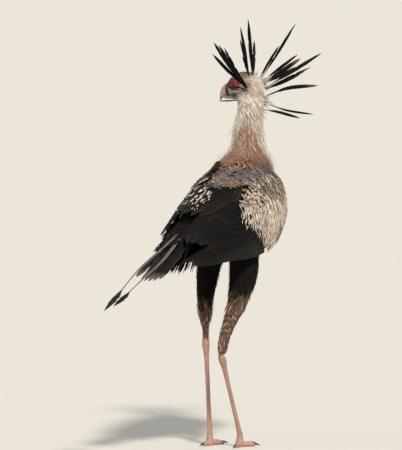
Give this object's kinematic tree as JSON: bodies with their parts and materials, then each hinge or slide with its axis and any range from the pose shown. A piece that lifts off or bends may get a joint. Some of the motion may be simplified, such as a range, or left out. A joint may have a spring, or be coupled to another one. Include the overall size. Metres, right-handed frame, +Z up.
{
  "type": "secretary bird",
  "caption": "Secretary bird standing still on long bare legs, head turned to its left, crest feathers raised, long tail lowered.",
  "frame": {"origin": "on the floor under the middle of the bird's bounding box", "axes": "+X the way the body faces, +Y to the bird's left, +Z up"},
  "size_m": [1.0069, 0.3286, 1.3001],
  "materials": {
    "pale_plumage": "soft feathers",
    "grey_plumage": "soft feathers",
    "cream_plumage": "soft feathers",
    "black_plumage": "soft feathers",
    "leg_skin": "scaled skin",
    "bill_horn": "smooth horn",
    "claw_horn": "smooth horn",
    "eye_gloss": "wet gloss"
  },
  "bodies": {
    "root": {"bill_lower": "bill_horn", "bill_upper": "bill_horn", "claw_left_1": "claw_horn", "claw_left_2": "claw_horn", "claw_left_3": "claw_horn", "claw_left_4": "claw_horn", "claw_right_1": "claw_horn", "claw_right_2": "claw_horn", "claw_right_3": "claw_horn", "claw_right_4": "claw_horn", "eye_left": "eye_gloss", "eye_right": "eye_gloss", "foot_left": "leg_skin", "foot_right": "leg_skin", "head": "pale_plumage", "neck": "pale_plumage", "tail": "black_plumage", "tarsus_left": "leg_skin", "tarsus_right": "leg_skin", "thigh_left": "black_plumage", "thigh_right": "black_plumage", "torso": "grey_plumage", "wing_left": "cream_plumage", "wing_right": "cream_plumage"}
  },
  "joints": []
}
